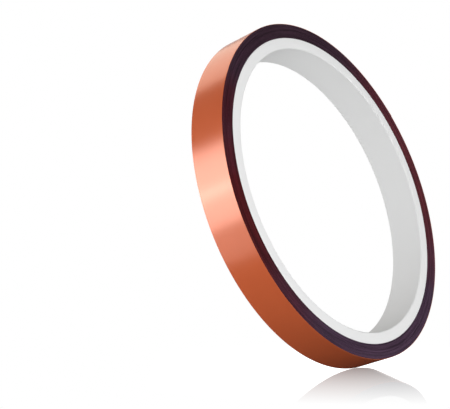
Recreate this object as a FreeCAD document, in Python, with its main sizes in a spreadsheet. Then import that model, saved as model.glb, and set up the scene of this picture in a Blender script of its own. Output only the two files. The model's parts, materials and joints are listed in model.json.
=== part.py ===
"""A narrow roll of copper-coloured adhesive tape on a white plastic core.

The roll stands on its rim like a wheel. Its axis is Y, +Z is up, and the origin is the centre of the
bore. Angles are counted in the XZ plane, from +X towards +Z.

The strip is a film with adhesive under it, wound clockwise outwards, so its free end lies on the turn
below and makes a step one tape thickness high. The spiral is drawn as quarters: each quarter is an arc
about its own centre, and its radius is a quarter of a tape thickness less than the one before. The
last stretch of the strip is the tail, cut into short segments so that it can lift off the roll.
"""
import FreeCAD, Part
import os

import Sketcher

OUTPUT_FOLDER = "parts"
FULL_TURN = 360
QUARTERS = 4
QUARTER_TURN = FULL_TURN // QUARTERS
TAIL_SEGMENTS = 5
SAME_RADIUS = 1e-6

DIMENSIONS = {
    "core_bore_diameter": 76.2,
    "core_wall": 3.0,
    "bore_edge_radius": 0.4,
    "rim_edge_radius": 0.15,
    "tape_width": 9.525,
    "film_thickness": 0.0254,
    "adhesive_thickness": 0.0381,
    "turn_count": 61,
    "free_end_angle": 22,
    "tail_segment_angle": 12.6,
}

WIDTH = "Dimensions.tape_width"
FILM = "Dimensions.film_thickness"
ADHESIVE = "Dimensions.adhesive_thickness"
TAPE = f"({FILM} + {ADHESIVE})"
BORE_RADIUS = "(Dimensions.core_bore_diameter / 2)"
CORE_RADIUS = f"({BORE_RADIUS} + Dimensions.core_wall)"
FREE_END = "Dimensions.free_end_angle"
SEGMENT = "Dimensions.tail_segment_angle"

doc = FreeCAD.newDocument("TapeRoll")


def add_dimensions():
    """Put every driving dimension in the sheet, one named cell each."""
    sheet = doc.addObject("Spreadsheet::Sheet", "Dimensions")
    for row, (name, value) in enumerate(DIMENSIONS.items(), start=1):
        sheet.set(f"A{row}", name)
        sheet.set(f"B{row}", str(value))
        sheet.setAlias(f"B{row}", name)
    doc.recompute()


# ---- core -------------------------------------------------------------------------------------

def draw_core_section(body):
    """Sketch the wall of the core as a rectangle to one side of the axis."""
    plane = next(item for item in body.Origin.OriginFeatures if item.Role == "XY_Plane")
    sketch = body.newObject("Sketcher::SketchObject", "CoreSection")
    sketch.AttachmentSupport = (plane, [""])
    sketch.MapMode = "FlatFace"

    bore_radius, wall = DIMENSIONS["core_bore_diameter"] / 2, DIMENSIONS["core_wall"]
    width = DIMENSIONS["tape_width"]
    corners = [(bore_radius, -width / 2), (bore_radius + wall, -width / 2),
               (bore_radius + wall, width / 2), (bore_radius, width / 2)]
    for start, end in zip(corners, corners[1:] + corners[:1]):
        sketch.addGeometry(Part.LineSegment(FreeCAD.Vector(*start, 0), FreeCAD.Vector(*end, 0)))
    bottom, outside, top, inside = range(4)
    first, last = 1, 2
    across = -1
    sketch.addConstraint([
        Sketcher.Constraint("Coincident", bottom, last, outside, first),
        Sketcher.Constraint("Coincident", outside, last, top, first),
        Sketcher.Constraint("Coincident", top, last, inside, first),
        Sketcher.Constraint("Coincident", inside, last, bottom, first),
        Sketcher.Constraint("Horizontal", bottom),
        Sketcher.Constraint("Horizontal", top),
        Sketcher.Constraint("Vertical", inside),
        Sketcher.Constraint("Symmetric", outside, first, outside, last, across),
    ])
    sizes = {
        "bore_radius": (("DistanceX", across, first, bottom, first, bore_radius), BORE_RADIUS),
        "wall": (("DistanceX", bottom, first, bottom, last, wall), "Dimensions.core_wall"),
        "width": (("DistanceY", outside, first, outside, last, width), WIDTH),
    }
    for name, (constraint, expression) in sizes.items():
        index = sketch.addConstraint(Sketcher.Constraint(*constraint))
        sketch.renameConstraint(index, name)
        sketch.setExpression(f"Constraints.{name}", expression)
    return sketch


def round_circles(body, base, name, circle_radius, rounding):
    """Round the two edges of the ring that are circles of one radius."""
    edges = []
    for number, edge in enumerate(base.Shape.Edges, start=1):
        if isinstance(edge.Curve, Part.Circle) and abs(edge.Curve.Radius - circle_radius) < SAME_RADIUS:
            edges.append(f"Edge{number}")
    fillet = body.newObject("PartDesign::Fillet", name)
    fillet.Base = (base, edges)
    fillet.setExpression("Radius", rounding)
    doc.recompute()
    return fillet


def build_core():
    """The core: one plain moulded ring, as wide as the tape, with its edges rounded."""
    body = doc.addObject("PartDesign::Body", "Core")
    sketch = draw_core_section(body)
    ring = body.newObject("PartDesign::Revolution", "CoreRing")
    ring.Profile = sketch
    ring.ReferenceAxis = (sketch, ["V_Axis"])
    ring.Angle = FULL_TURN
    doc.recompute()
    bore_radius = DIMENSIONS["core_bore_diameter"] / 2
    rim_radius = bore_radius + DIMENSIONS["core_wall"]
    rounded_bore = round_circles(body, ring, "BoreEdges", bore_radius, "Dimensions.bore_edge_radius")
    round_circles(body, rounded_bore, "RimEdges", rim_radius, "Dimensions.rim_edge_radius")
    return body


# ---- tape -------------------------------------------------------------------------------------

def quarter_radius(quarter):
    """Outer radius of the outermost turn in one quarter. Quarter 0 holds the free end."""
    quarters_below = QUARTERS - 1 - quarter
    return f"({CORE_RADIUS} + (Dimensions.turn_count + {quarters_below} / {QUARTERS}) * {TAPE})"


def arc_placement(quarter, start_angle):
    """Place an arc on its quarter's centre: a corner of a square a quarter of a tape thick."""
    half_diagonal = f"{TAPE} / {QUARTERS} / sqrt(2)"
    bearing = f"({FREE_END} + {QUARTER_TURN * quarter} - {QUARTER_TURN} / 2)"
    centre = f"vector({half_diagonal} * cos({bearing}); 0; {half_diagonal} * sin({bearing}))"
    return f"placement({centre}; rotation(vector(0; -1; 0); {start_angle}))"


def build_arc(name, quarter, inner_radius, outer_radius, start_angle, sweep):
    """One arc of tape: a rectangle turned about its quarter's centre by the sweep."""
    section = doc.addObject("Part::Plane", f"{name}Section")
    section.setExpression("Length", f"{outer_radius} - {inner_radius}")
    section.setExpression("Width", WIDTH)
    section.setExpression("Placement", f"placement(vector({inner_radius}; -{WIDTH} / 2; 0); "
                                       "rotation(vector(0; 0; 1); 0))")
    arc = doc.addObject("Part::Revolution", name)
    arc.Source = section
    arc.Axis = FreeCAD.Vector(0, -1, 0)
    arc.Solid = True
    arc.setExpression("Angle", sweep)
    arc.setExpression("Placement", arc_placement(quarter, start_angle))
    return arc


def build_turn(name, inner_radii, outer_radii, first_start, first_sweep):
    """Join one arc per quarter. Only the first quarter can start late and sweep less."""
    arcs = []
    for quarter in range(QUARTERS):
        start = first_start if quarter == 0 else f"({FREE_END} + {QUARTER_TURN * quarter})"
        sweep = first_sweep if quarter == 0 else str(QUARTER_TURN)
        arc = build_arc(f"{name}Quarter{quarter}", quarter, inner_radii[quarter],
                        outer_radii[quarter], start, sweep)
        arcs.append(arc)
    turn = doc.addObject("Part::MultiFuse", name)
    turn.Shapes = arcs
    turn.Refine = True
    return turn


def build_wound_turns():
    """Every turn under the outermost one, pressed into one ring round the core."""
    inner = [BORE_RADIUS] * QUARTERS
    outer = [f"({quarter_radius(quarter)} - {TAPE})" for quarter in range(QUARTERS)]
    disc = build_turn("WoundDisc", inner, outer, FREE_END, str(QUARTER_TURN))
    core_space = doc.addObject("Part::Cylinder", "CoreSpace")
    core_space.setExpression("Radius", CORE_RADIUS)
    core_space.setExpression("Height", WIDTH)
    core_space.setExpression("Placement", f"placement(vector(0; {WIDTH} / 2; 0); "
                                          "rotation(vector(1; 0; 0); 90))")
    turns = doc.addObject("Part::Cut", "WoundTurns")
    turns.Base = disc
    turns.Tool = core_space
    turns.Refine = True
    return turns


def layer_radii(layer, quarter):
    """Inner and outer radius of the film or the adhesive of the outermost turn."""
    outside = quarter_radius(quarter)
    between = f"({outside} - {FILM})"
    underside = f"({outside} - {TAPE})"
    return (between, outside) if layer == "film" else (underside, between)


def build_outer_turn(layer):
    """The outermost turn's film or adhesive, from where the turn begins round to the tail."""
    radii = [layer_radii(layer, quarter) for quarter in range(QUARTERS)]
    tail_start = f"({FREE_END} + {TAIL_SEGMENTS} * {SEGMENT})"
    sweep = f"{QUARTER_TURN} - {TAIL_SEGMENTS} * {SEGMENT}"
    return build_turn(f"OuterTurn{layer.title()}", [pair[0] for pair in radii],
                      [pair[1] for pair in radii], tail_start, sweep)


def build_tail_segment(layer, number):
    """One segment of the tail. Segment 1 is next to the roll and the last one is the free end."""
    inner, outer = layer_radii(layer, 0)
    start = f"({FREE_END} + {TAIL_SEGMENTS - number} * {SEGMENT})"
    return build_arc(f"Tail{layer.title()}{number}", 0, inner, outer, start, SEGMENT)


# ---- assembly ---------------------------------------------------------------------------------

def build_roll():
    """Make every sub-part and give each one the name of its node."""
    sub_parts = {
        "core": build_core(),
        "wound_turns": build_wound_turns(),
    }
    for layer in ("film", "adhesive"):
        sub_parts[f"outer_turn_{layer}"] = build_outer_turn(layer)
        for number in range(1, TAIL_SEGMENTS + 1):
            sub_parts[f"tail_{layer}_{number}"] = build_tail_segment(layer, number)
    for label, sub_part in sub_parts.items():
        sub_part.Label = label
    doc.recompute()
    return sub_parts.values()


def check_document(sub_parts):
    """Stop if any object failed, or if a sub-part isn't one sound solid."""
    for item in doc.Objects:
        if "Invalid" in item.State or "Error" in item.State:
            raise RuntimeError(f"{item.Label} failed: {item.State}")
    for sub_part in sub_parts:
        shape = sub_part.Shape
        if shape.isNull() or not shape.isValid() or len(shape.Solids) != 1:
            raise RuntimeError(f"{sub_part.Label} isn't one sound solid")


def export(sub_parts):
    """Write one STEP file for each sub-part."""
    os.makedirs(OUTPUT_FOLDER, exist_ok=True)
    for sub_part in sub_parts:
        sub_part.Shape.exportStep(os.path.join(OUTPUT_FOLDER, f"{sub_part.Label}.step"))


add_dimensions()
roll = build_roll()
check_document(roll)
export(roll)
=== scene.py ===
"""A narrow roll of copper-coloured film tape on a white plastic core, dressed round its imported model.

The roll's axis is Y and it stands on its rim. Angles are counted in the XZ plane, from +X towards +Z.
The tape is wound clockwise outwards, so the outside of the tape comes nearer the axis as the angle
grows, by one tape thickness a turn, and steps back out at the free end.
"""
import json
import math
import random

import bpy
from mathutils import Matrix, Vector


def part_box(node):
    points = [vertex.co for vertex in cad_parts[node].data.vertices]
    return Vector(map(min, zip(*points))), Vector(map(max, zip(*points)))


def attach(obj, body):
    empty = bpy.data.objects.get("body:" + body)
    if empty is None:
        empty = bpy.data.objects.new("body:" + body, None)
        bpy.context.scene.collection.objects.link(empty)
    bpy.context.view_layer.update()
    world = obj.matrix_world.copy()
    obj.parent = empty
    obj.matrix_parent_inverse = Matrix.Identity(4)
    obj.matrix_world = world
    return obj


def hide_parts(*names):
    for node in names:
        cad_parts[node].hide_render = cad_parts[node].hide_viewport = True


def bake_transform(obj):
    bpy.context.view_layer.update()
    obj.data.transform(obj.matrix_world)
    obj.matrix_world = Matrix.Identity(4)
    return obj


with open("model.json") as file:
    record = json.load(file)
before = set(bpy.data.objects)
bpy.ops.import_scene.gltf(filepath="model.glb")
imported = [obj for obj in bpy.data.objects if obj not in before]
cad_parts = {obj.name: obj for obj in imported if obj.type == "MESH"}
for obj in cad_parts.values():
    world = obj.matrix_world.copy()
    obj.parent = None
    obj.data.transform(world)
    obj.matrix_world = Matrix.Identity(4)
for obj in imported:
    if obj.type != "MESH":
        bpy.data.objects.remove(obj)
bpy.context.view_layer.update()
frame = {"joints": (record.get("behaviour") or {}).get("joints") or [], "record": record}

MM = 0.001
FULL_TURN = 2 * math.pi


# ---- sizes, from the frame --------------------------------------------------------------------

def hinge_angle(joint):
    """Where round the roll a tail hinge lies."""
    x, _, z = joint["pos_m"]
    return math.atan2(z, x)


HINGES = [hinge_angle(joint) for joint in frame["joints"]]
SEGMENT = HINGES[0] - HINGES[1]
FREE_END = HINGES[-1] - SEGMENT
BORE_RADIUS = frame["record"]["mounts"][0]["dims"]["r_mm"] * MM
CORE_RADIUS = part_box("core")[1].z
HALF_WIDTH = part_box("core")[1].y
FILM = 0.0254 * MM
TAPE = 0.0635 * MM
BORE_EDGE = 0.4 * MM

film_low, film_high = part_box("outer_turn_film")
ROLL_RADIUS = (film_high.x - film_low.x) / 2


def share_of_turn(angle):
    """How far round from the free end this angle lies, the way the tape is wound."""
    return ((FREE_END - angle) % FULL_TURN) / FULL_TURN


peel_x, _, peel_z = frame["joints"][0]["pos_m"]
WOUND_TURNS = (math.hypot(peel_x, peel_z) - CORE_RADIUS) / TAPE - share_of_turn(HINGES[0])


def surface_radius(angle):
    """Distance from the axis to the outside of the tape at this angle."""
    return CORE_RADIUS + (WOUND_TURNS + share_of_turn(angle)) * TAPE


def on_roll(angle, radius, across):
    """The point at this angle, this far from the axis and this far along it."""
    return Vector((radius * math.cos(angle), across, radius * math.sin(angle)))


# ---- meshes -----------------------------------------------------------------------------------

def swept_piece(name, sections, closed, sharp_angle):
    """Join a row of sections, each a loop of points, into one closed skin."""
    count = len(sections[0])
    points = [point for section in sections for point in section]
    spans = len(sections) if closed else len(sections) - 1
    faces = []
    for i in range(spans):
        here = i * count
        there = (i + 1) % len(sections) * count
        for k in range(count):
            after = (k + 1) % count
            faces.append((here + k, here + after, there + after, there + k))
    if not closed:
        faces.append(tuple(reversed(range(count))))
        faces.append(tuple(range(spans * count, spans * count + count)))
    mesh = bpy.data.meshes.new(name)
    mesh.from_pydata(points, [], faces)
    mesh.shade_smooth()
    mesh.set_sharp_from_angle(angle=sharp_angle)
    piece = bpy.data.objects.new(name, mesh)
    bpy.context.scene.collection.objects.link(piece)
    return piece


def corner(centre_radius, centre_across, size, start, steps):
    """A quarter circle of (radius, across) points that rounds one edge of a section."""
    points = []
    for step in range(steps + 1):
        turn = start + math.pi / 2 * step / steps
        points.append((centre_radius + size * math.cos(turn), centre_across + size * math.sin(turn)))
    return points


def make_core():
    """The moulded ring: a smooth bore, flat sides and four rounded edges."""
    rim_edge = 0.15 * MM
    steps, stations = 6, 480
    inner, outer = BORE_RADIUS + BORE_EDGE, CORE_RADIUS - rim_edge
    low, high = -HALF_WIDTH, HALF_WIDTH
    outline = corner(outer, low + rim_edge, rim_edge, -math.pi / 2, steps)
    outline += corner(outer, high - rim_edge, rim_edge, 0, steps)
    outline += corner(inner, high - BORE_EDGE, BORE_EDGE, math.pi / 2, steps)
    outline += corner(inner, low + BORE_EDGE, BORE_EDGE, math.pi, steps)
    sections = []
    for station in range(stations):
        angle = -FULL_TURN * station / stations
        sections.append([on_roll(angle, radius, across) for radius, across in outline])
    return swept_piece("core_ring", sections, True, math.radians(40))


def side_wobbles(seed):
    """How far each turn's edge stands proud of the side, as a mean, a wave's height and its phase."""
    unevenness, wave = 0.012 * MM, 0.010 * MM
    draw = random.Random(seed)
    return [(draw.gauss(0, unevenness), abs(draw.gauss(0, wave)), draw.uniform(0, FULL_TURN))
            for _ in range(int(WOUND_TURNS))]


def side_outline(angle, wobbles, side):
    """One side of the wound turns, from the core outwards: a groove and a crest for each turn."""
    groove = 0.022 * MM
    outside = surface_radius(angle) - TAPE
    points = []
    for turn, (mean, height, phase) in enumerate(wobbles):
        radius = CORE_RADIUS + turn * TAPE
        thickness = min(TAPE, outside - radius)
        proud = mean + height * math.sin(angle + phase)
        points.append((radius, side * (HALF_WIDTH - groove)))
        points.append((radius + thickness / 2, side * (HALF_WIDTH + proud)))
    points.append((outside, side * (HALF_WIDTH - groove)))
    return points


def make_wound_tape():
    """Every turn under the outermost one. Each turn's edge shows on both sides as a fine ridge.

    The short seam at the free end holds the step between one turn and the next.
    """
    stations, seam = 360, math.radians(0.03)
    front_seed, back_seed = 11, 12
    front, back = side_wobbles(front_seed), side_wobbles(back_seed)
    sections = []
    for station in range(stations):
        angle = FREE_END - seam / 2 - (FULL_TURN - seam) * station / (stations - 1)
        front_outline, back_outline = side_outline(angle, front, -1), side_outline(angle, back, 1)
        outline = front_outline + back_outline[::-1]
        sections.append([on_roll(angle, radius, across) for radius, across in outline])
    piece = swept_piece("wound_tape", sections, True, math.radians(60))
    piece.data.materials.append(EDGES)
    piece.data.materials.append(COPPER)
    for station in range(stations):
        outside_face = station * len(outline) + len(front_outline) - 1
        piece.data.polygons[outside_face].material_index = 1
    return piece


# Where the points of a strip's section lie across it, as shares of its half width.
HALF_COLUMNS = (0.25, 0.5, 0.75, 0.9, 0.97, 0.992, 1)
COLUMNS = tuple(-share for share in reversed(HALF_COLUMNS)) + (0,) + HALF_COLUMNS


def end_lift(angle):
    """The very end of the tape doesn't lie quite flat: how far it stands off the turn below."""
    reach, at_the_end = math.radians(5), 0.15 * MM
    return at_the_end * max(0, 1 - (angle - FREE_END) / reach) ** 2


def strip_section(angle, surface, depths, half):
    """Across the strip at one angle: along its top, then back along its underside."""
    edge_drop, edge_sharpness = 0.012 * MM, 24
    rows = []
    for depth in depths:
        row = []
        for share in COLUMNS:
            drop = edge_drop * abs(share) ** edge_sharpness
            row.append(on_roll(angle, surface - depth - drop, share * half))
        rows.append(row)
    top, underside = rows
    return top + underside[::-1]


def make_strip(name, start, end, depths, inset, lifted=False, tucked=False):
    """A stretch of film or adhesive that follows the outside of the roll, its edges eased inwards.

    A tucked stretch has a thin tongue that reaches back into the one before, so that no gap opens.
    """
    half = HALF_WIDTH - inset
    fewest, pitch = 8, math.radians(0.9)
    spans = max(fewest, round(abs(end - start) / pitch))
    sections = []
    if tucked:
        tongue, thinner = 0.2 * MM / ROLL_RADIUS, 0.15 * FILM
        tongue_depths = (depths[0] + thinner, depths[1] - thinner)
        surface = surface_radius(start + tongue)
        sections.append(strip_section(start + tongue, surface, tongue_depths, half - thinner))
    for station in range(spans + 1):
        angle = start + (end - start) * station / spans
        past_the_step = 1e-7 if station == 0 else 0
        surface = surface_radius(angle - past_the_step) + (end_lift(angle) if lifted else 0)
        sections.append(strip_section(angle, surface, depths, half))
    return swept_piece(name, sections, False, math.radians(40))


# ---- materials --------------------------------------------------------------------------------

class Shader:
    """A material's node tree, with short calls for the nodes that every material here uses."""

    def __init__(self, name):
        self.material = bpy.data.materials.new(name)
        self.material.use_nodes = True
        self.tree = self.material.node_tree
        self.surface = self.tree.nodes["Principled BSDF"]

    def node(self, kind, **settings):
        """Add a node and set its properties."""
        made = self.tree.nodes.new(kind)
        for name, value in settings.items():
            setattr(made, name, value)
        return made

    def put(self, socket, value):
        """Give an input a number, a colour or another node's output."""
        if isinstance(value, bpy.types.NodeSocket):
            self.tree.links.new(value, socket)
        else:
            socket.default_value = value

    def maths(self, operation, first, second=0.0):
        """One Math node's result."""
        made = self.node("ShaderNodeMath", operation=operation)
        self.put(made.inputs[0], first)
        self.put(made.inputs[1], second)
        return made.outputs[0]

    def place(self):
        """Where the shaded point is: cosine and sine of its angle, its radius and its place across."""
        coordinates = self.node("ShaderNodeTexCoord").outputs["Object"]
        parts = self.node("ShaderNodeSeparateXYZ")
        self.put(parts.inputs[0], coordinates)
        x, across, z = parts.outputs
        squares = self.maths("ADD", self.maths("MULTIPLY", x, x), self.maths("MULTIPLY", z, z))
        radius = self.maths("SQRT", squares)
        return self.maths("DIVIDE", x, radius), self.maths("DIVIDE", z, radius), radius, across

    def vector(self, x, y, z):
        """Combine three values into a vector."""
        made = self.node("ShaderNodeCombineXYZ")
        for socket, value in zip(made.inputs, (x, y, z)):
            self.put(socket, value)
        return made.outputs[0]

    def noise(self, vector, scale, detail=3.0, roughness=0.5):
        """Noise between 0 and 1 at this scale."""
        made = self.node("ShaderNodeTexNoise")
        self.put(made.inputs["Vector"], vector)
        made.inputs["Scale"].default_value = scale
        made.inputs["Detail"].default_value = detail
        made.inputs["Roughness"].default_value = roughness
        return made.outputs["Fac"]

    def spread(self, value, low, high, start=0.0, end=1.0):
        """Stretch a value so that start becomes low and end becomes high."""
        made = self.node("ShaderNodeMapRange")
        self.put(made.inputs["Value"], value)
        for name, number in (("From Min", start), ("From Max", end), ("To Min", low), ("To Max", high)):
            made.inputs[name].default_value = number
        return made.outputs["Result"]

    def mix(self, share, first, second):
        """Mix two colours."""
        made = self.node("ShaderNodeMix", data_type="RGBA")
        self.put(made.inputs["Factor"], share)
        self.put(made.inputs[6], first)
        self.put(made.inputs[7], second)
        return made.outputs[2]

    def bump(self, height, distance):
        """Raise the surface by the height, times the distance in metres."""
        made = self.node("ShaderNodeBump")
        made.inputs["Distance"].default_value = distance
        made.inputs["Strength"].default_value = 1.0
        self.put(made.inputs["Height"], height)
        self.put(self.surface.inputs["Normal"], made.outputs[0])

    def finish(self, **values):
        """Set the surface's own inputs, named with underscores for spaces."""
        for name, value in values.items():
            self.put(self.surface.inputs[name.replace("_", " ")], value)
        return self.material


def white_plastic():
    """Satin moulded plastic with a fine grain and faint flow marks, duller in the bore, whose wall is
    painted greyer as painted shade.
    """
    shader = Shader("white_plastic")
    cosine, sine, radius, across = shader.place()
    grain_place = shader.vector(cosine, sine, shader.maths("MULTIPLY", across, 20.0))
    flow_place = shader.vector(cosine, sine, shader.maths("MULTIPLY", radius, 60.0))
    grain = shader.noise(grain_place, scale=260, detail=4)
    flow = shader.noise(flow_place, scale=3.0, detail=2)
    outside = shader.spread(radius, 0.0, 1.0, BORE_RADIUS, BORE_RADIUS + BORE_EDGE)
    white = shader.mix(flow, (0.80, 0.805, 0.805, 1), (0.835, 0.837, 0.835, 1))
    # Painted shade: the bore, the same white plastic, is painted greyer as if shaded inside the ring.
    bore_painted_shade = (0.65, 0.653, 0.652, 1)
    colour = shader.mix(outside, bore_painted_shade, white)
    shader.bump(grain, 0.01 * MM)
    return shader.finish(Base_Color=colour, Roughness=shader.spread(grain, 0.38, 0.52),
                         Specular_IOR_Level=shader.spread(outside, 0.0, 0.4))


def wound_edges():
    """The slit edges of the stacked film: maroon under a painted sheen that is purple above and below
    the axis and lighter low down, fading out at the two sides, where the maroon is painted lighter on
    the right.
    """
    shader = Shader("wound_edges")
    cosine, sine, radius, _ = shader.place()
    rings = shader.maths("MULTIPLY", radius, 900.0)
    streaks = shader.noise(shader.vector(cosine, sine, rings), scale=2.2, detail=5, roughness=0.6)
    blotches = shader.noise(shader.vector(cosine, sine, 0.0), scale=2.6, detail=2)
    # Painted sheen: purple above and below the axis, lighter low down, giving way towards the two sides
    # to maroon that is painted darker on the left and lighter on the right.
    sideways = shader.maths("MULTIPLY", cosine, cosine)
    share = shader.maths("ADD", sideways, shader.spread(blotches, -0.35, 0.35))
    low_painted_sheen, high_painted_sheen = (0.070, 0.038, 0.068, 1), (0.046, 0.022, 0.036, 1)
    shaded_left_maroon, lit_right_maroon = (0.075, 0.006, 0.009, 1), (0.108, 0.019, 0.026, 1)
    painted_purple_sheen = shader.mix(shader.spread(sine, 0.0, 1.0, -0.7, 0.7), low_painted_sheen, high_painted_sheen)
    maroon = shader.mix(shader.spread(cosine, 0.0, 1.0, -0.5, 0.7), shaded_left_maroon, lit_right_maroon)
    painted_sheen_tone = shader.mix(shader.spread(share, 0.0, 1.0, 0.35, 1.0), painted_purple_sheen, maroon)
    shade, light = (0.4, 0.4, 0.4, 1), (1.35, 1.35, 1.35, 1)
    streaking = shader.mix(shader.spread(streaks, 0.0, 1.0, 0.3, 0.7), shade, light)
    multiply = shader.node("ShaderNodeMix", data_type="RGBA", blend_type="MULTIPLY")
    multiply.inputs["Factor"].default_value = 1.0
    shader.put(multiply.inputs[6], painted_sheen_tone)
    shader.put(multiply.inputs[7], streaking)
    shader.bump(streaks, 0.02 * MM)
    return shader.finish(Base_Color=multiply.outputs[2], Roughness=shader.spread(streaks, 0.42, 0.6),
                         Specular_IOR_Level=0.06)


def copper_film():
    """Glossy copper-coloured film: strongly reflecting, with a slightly wavy face and fine lines."""
    shader = Shader("copper_film")
    cosine, sine, _, across = shader.place()
    round_the_roll, over_the_width = 0.35, 1500.0
    line_place = shader.vector(shader.maths("MULTIPLY", cosine, round_the_roll),
                               shader.maths("MULTIPLY", sine, round_the_roll),
                               shader.maths("MULTIPLY", across, over_the_width))
    wave_place = shader.vector(cosine, sine, shader.maths("MULTIPLY", across, 30.0))
    lines = shader.noise(line_place, scale=1.6, detail=4)
    waves = shader.noise(wave_place, scale=5.0, detail=2)
    colour = shader.mix(waves, (0.81, 0.160, 0.055, 1), (0.86, 0.175, 0.062, 1))
    height = shader.maths("ADD", shader.maths("MULTIPLY", lines, 0.12), waves)
    shader.bump(height, 0.03 * MM)
    return shader.finish(Base_Color=colour, Metallic=0.12, Roughness=shader.spread(lines, 0.18, 0.26),
                         IOR=2.4, Specular_Tint=(1.0, 0.85, 0.76, 1.0))


def amber_adhesive():
    """The layer under the film: amber, matt and a little uneven."""
    shader = Shader("amber_adhesive")
    cosine, sine, _, across = shader.place()
    lump_place = shader.vector(cosine, sine, shader.maths("MULTIPLY", across, 22.0))
    lumps = shader.noise(lump_place, scale=40, detail=2)
    colour = shader.mix(lumps, (0.50, 0.13, 0.045, 1), (0.62, 0.19, 0.065, 1))
    shader.bump(lumps, 0.006 * MM)
    return shader.finish(Base_Color=colour, Roughness=shader.spread(lumps, 0.45, 0.6),
                         Specular_IOR_Level=0.0)


# ---- the roll ---------------------------------------------------------------------------------

PLASTIC = white_plastic()
EDGES = wound_edges()
COPPER = copper_film()
ADHESIVE = amber_adhesive()


def dress(piece, material, node):
    """Give a piece its material, unless it has some, and hide the node it stands for."""
    if not piece.data.materials:
        piece.data.materials.append(material)
    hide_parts(node)
    return piece


# Each layer's depths below the outside of the tape, how far its edges are set in, and its material.
LAYERS = {
    "film": ((0.0, FILM), 0.0, COPPER),
    "adhesive": ((FILM, TAPE), 0.03 * MM, ADHESIVE),
}


def build_roll():
    """Core, wound turns and the outermost turn up to the tail: all on the roll's own body."""
    core = dress(make_core(), PLASTIC, "core")
    wound = dress(make_wound_tape(), EDGES, "wound_turns")
    on_body = [core, wound]
    for layer, (depths, inset, material) in LAYERS.items():
        strip = make_strip(f"outer_turn_{layer}_strip", FREE_END, HINGES[0] - FULL_TURN, depths, inset)
        dress(strip, material, f"outer_turn_{layer}")
        on_body.append(strip)
    for piece in on_body:
        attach(piece, "roll")


def build_tail():
    """The free end: each stretch lies across one hinge, and the last one runs to the cut end.

    A stretch starts and ends halfway between hinges. The first starts at the peel line.
    """
    short_of_the_step = 1e-6
    for number, (joint, hinge) in enumerate(zip(frame["joints"], HINGES), start=1):
        first, last = number == 1, number == len(HINGES)
        start = hinge if first else hinge + SEGMENT / 2
        end = FREE_END + short_of_the_step if last else hinge - SEGMENT / 2
        for layer, (depths, inset, material) in LAYERS.items():
            strip = make_strip(f"tail_{layer}_strip_{number}", start, end, depths, inset,
                               lifted=True, tucked=not first)
            dress(strip, material, f"tail_{layer}_{number}")
            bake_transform(strip)


build_roll()
build_tail()


# ---- the set ----------------------------------------------------------------------------------
# The roll leans on a level table. The part's own frame has it upright, so the table is tilted instead.

def direction(azimuth, elevation):
    """A unit vector from the roll towards a viewer at this azimuth and elevation."""
    azimuth, elevation = math.radians(azimuth), math.radians(elevation)
    level = math.cos(elevation)
    return Vector((math.sin(azimuth) * level, -math.cos(azimuth) * level, math.sin(elevation)))


CAMERA_AZIMUTH, CAMERA_ELEVATION = -54.7, -5.5
CAMERA_ROLL, CAMERA_PITCH = math.radians(-19), math.radians(-1)
LEVEL_TURN = (-direction(CAMERA_AZIMUTH, CAMERA_ELEVATION)).to_track_quat("-Z", "Y").to_matrix()
CAMERA_TURN = LEVEL_TURN @ Matrix.Rotation(CAMERA_ROLL, 3, "Z")
TABLE_UP = CAMERA_TURN @ Vector((0, math.cos(CAMERA_PITCH), math.sin(CAMERA_PITCH)))
LOWEST_ANGLE = math.atan2(-TABLE_UP.z, -TABLE_UP.x)
CONTACT = on_roll(LOWEST_ANGLE, surface_radius(LOWEST_ANGLE), HALF_WIDTH)


def add_camera():
    """Low, from the front left, with the roll right of the middle. Distances are in roll radii."""
    aside, above, away = 0.561, 0.064, 7.177
    right, up, behind = CAMERA_TURN.col
    camera = bpy.data.objects.new("camera", bpy.data.cameras.new("camera"))
    camera.data.lens = 100.3
    camera.data.clip_start = 0.01
    place = ROLL_RADIUS * (away * behind - aside * right - above * up)
    camera.matrix_world = Matrix.Translation(place) @ CAMERA_TURN.to_4x4()
    bpy.context.scene.collection.objects.link(camera)
    bpy.context.scene.camera = camera


def add_soft_box(name, bearing, lengthwise, width, length, brightness, colour=(1, 1, 1)):
    """A soft box aimed at the roll: its bearing round the roll's axis, and how far along the axis.

    Width and length are in roll radii, and brightness is how bright the box looks, white being 1.
    """
    reach = 8 * ROLL_RADIUS
    level = math.sqrt(1 - lengthwise ** 2)
    bearing = math.radians(bearing)
    towards = Vector((level * math.cos(bearing), lengthwise, level * math.sin(bearing)))
    lamp = bpy.data.lights.new(name, "AREA")
    lamp.shape = "RECTANGLE"
    lamp.size = width * ROLL_RADIUS
    lamp.size_y = length * ROLL_RADIUS
    lamp.energy = math.pi * lamp.size * lamp.size_y * brightness
    lamp.color = colour
    box = bpy.data.objects.new(name, lamp)
    across = Vector((-math.sin(bearing), 0, math.cos(bearing)))
    turn = Matrix((across, towards.cross(across), towards)).transposed()
    box.matrix_world = Matrix.Translation(reach * towards) @ turn.to_4x4()
    box.visible_camera = False
    bpy.context.scene.collection.objects.link(box)


def add_bore_lamp():
    """A small soft lamp inside the bore, nearer its top, so that its wall isn't left dark there."""
    lamp = bpy.data.lights.new("bore_lamp", "POINT")
    lamp.energy = 0.0095
    lamp.shadow_soft_size = 0.1 * ROLL_RADIUS
    bearing, off_axis = math.radians(80), 0.35 * ROLL_RADIUS
    bulb = bpy.data.objects.new("bore_lamp", lamp)
    bulb.location = on_roll(bearing, off_axis, 0)
    bulb.visible_camera = bulb.visible_glossy = False
    bpy.context.scene.collection.objects.link(bulb)


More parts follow.
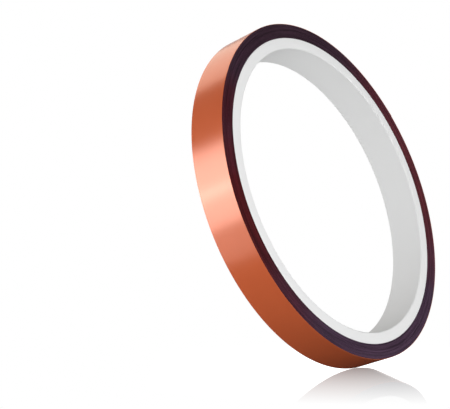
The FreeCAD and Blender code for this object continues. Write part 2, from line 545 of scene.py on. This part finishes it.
def add_lights():
    """Boxes behind the roll put the bright bands on the film. The others fill in the shade."""
    add_soft_box("top_box", 63, 0.512, 5.7, 4, 1.4, (1, 0.9, 0.78))
    add_soft_box("left_box", 147, 0.512, 3.8, 4, 1.9)
    add_soft_box("left_low_box", 170, 0.512, 2.9, 4, 2.6)
    add_soft_box("left_edge_box", 194, 0.512, 2.2, 4, 0.7)
    add_soft_box("right_box", 5, 0.512, 4.0, 4, 1.5)
    add_soft_box("front_fill", 0, -0.999, 8, 8, 2.3)
    add_soft_box("back_fill", 0, 0.999, 8, 8, 2.45)
    add_soft_box("left_fill", 180, -0.5, 6, 6, 1.75)
    add_soft_box("low_fill", 212, -0.5, 6, 6, 0.8)
    add_bore_lamp()


def add_world():
    """Plain white to look at. The roll is lit by a bright wall round a dim ground, under a grey sky."""
    world = bpy.data.worlds.new("studio")
    world.use_nodes = True
    nodes, links = world.node_tree.nodes, world.node_tree.links
    nodes.clear()
    ray, place = nodes.new("ShaderNodeLightPath"), nodes.new("ShaderNodeTexCoord")
    height = nodes.new("ShaderNodeVectorMath")
    height.operation = "DOT_PRODUCT"
    height.inputs[1].default_value = TABLE_UP
    links.new(place.outputs["Generated"], height.inputs[0])
    ramp = nodes.new("ShaderNodeValToRGB")
    ramp.color_ramp.elements.new(0.5)
    ramp.color_ramp.elements.new(0.6)
    ground, wall, sky = 0.01, 1.0, 0.05
    horizon, wall_foot, wall_top, sky_start = 0.0, 0.02, 0.25, 0.35
    levels = ((horizon, ground), (wall_foot, wall), (wall_top, wall), (sky_start, sky))
    for element, (level, grey) in zip(ramp.color_ramp.elements, levels):
        element.position = level
        element.color = (grey, grey, grey, 1)
    links.new(height.outputs["Value"], ramp.inputs["Fac"])
    light, backdrop = nodes.new("ShaderNodeBackground"), nodes.new("ShaderNodeBackground")
    backdrop.inputs["Color"].default_value = (1, 1, 1, 1)
    links.new(ramp.outputs["Color"], light.inputs["Color"])
    choose, out = nodes.new("ShaderNodeMixShader"), nodes.new("ShaderNodeOutputWorld")
    links.new(ray.outputs["Is Camera Ray"], choose.inputs[0])
    links.new(light.outputs[0], choose.inputs[1])
    links.new(backdrop.outputs[0], choose.inputs[2])
    links.new(choose.outputs[0], out.inputs[0])
    bpy.context.scene.world = world
    bpy.context.scene.view_settings.view_transform = "Standard"


def floor_material():
    """A white gloss table: at a low angle it mirrors the roll near the contact. It has no underside."""
    material = bpy.data.materials.new("white_table")
    material.use_nodes = True
    nodes, links = material.node_tree.nodes, material.node_tree.links
    nodes.clear()
    shape = nodes.new("ShaderNodeNewGeometry")
    place, distance = nodes.new("ShaderNodeTexCoord"), nodes.new("ShaderNodeVectorMath")
    distance.operation = "LENGTH"
    links.new(place.outputs["Object"], distance.inputs[0])
    fade = nodes.new("ShaderNodeMapRange")
    reach = 1.45 * ROLL_RADIUS
    for name, value in (("From Min", 0.0), ("From Max", reach), ("To Min", 1.0), ("To Max", 0.0)):
        fade.inputs[name].default_value = value
    links.new(distance.outputs["Value"], fade.inputs["Value"])
    facing, grazing = nodes.new("ShaderNodeLayerWeight"), nodes.new("ShaderNodeMath")
    facing.inputs["Blend"].default_value = 0.5
    grazing.operation = "POWER"
    grazing.inputs[1].default_value = 3
    links.new(facing.outputs["Facing"], grazing.inputs[0])
    shine = nodes.new("ShaderNodeMath")
    shine.operation = "MULTIPLY"
    links.new(fade.outputs["Result"], shine.inputs[0])
    links.new(grazing.outputs[0], shine.inputs[1])
    white, mirror = nodes.new("ShaderNodeEmission"), nodes.new("ShaderNodeBsdfGlossy")
    mirror.inputs["Color"].default_value = (1, 1, 1, 1)
    mirror.inputs["Roughness"].default_value = 0.03
    seen = nodes.new("ShaderNodeMixShader")
    links.new(shine.outputs[0], seen.inputs[0])
    links.new(white.outputs[0], seen.inputs[1])
    links.new(mirror.outputs[0], seen.inputs[2])
    clear, sided = nodes.new("ShaderNodeBsdfTransparent"), nodes.new("ShaderNodeMixShader")
    links.new(shape.outputs["Backfacing"], sided.inputs[0])
    links.new(seen.outputs[0], sided.inputs[1])
    links.new(clear.outputs[0], sided.inputs[2])
    out = nodes.new("ShaderNodeOutputMaterial")
    links.new(sided.outputs[0], out.inputs[0])
    return material


def add_floor():
    """The table under the roll, touching its lowest edge."""
    half = 12 * ROLL_RADIUS
    corners = [(-half, -half, 0), (half, -half, 0), (half, half, 0), (-half, half, 0)]
    mesh = bpy.data.meshes.new("table")
    mesh.from_pydata(corners, [], [(0, 1, 2, 3)])
    mesh.materials.append(floor_material())
    table = bpy.data.objects.new("table", mesh)
    tilt = TABLE_UP.to_track_quat("Z", "Y").to_matrix().to_4x4()
    table.matrix_world = Matrix.Translation(CONTACT) @ tilt
    table.visible_diffuse = table.visible_glossy = table.visible_shadow = False
    bpy.context.scene.collection.objects.link(table)


add_camera()
add_lights()
add_world()
add_floor()
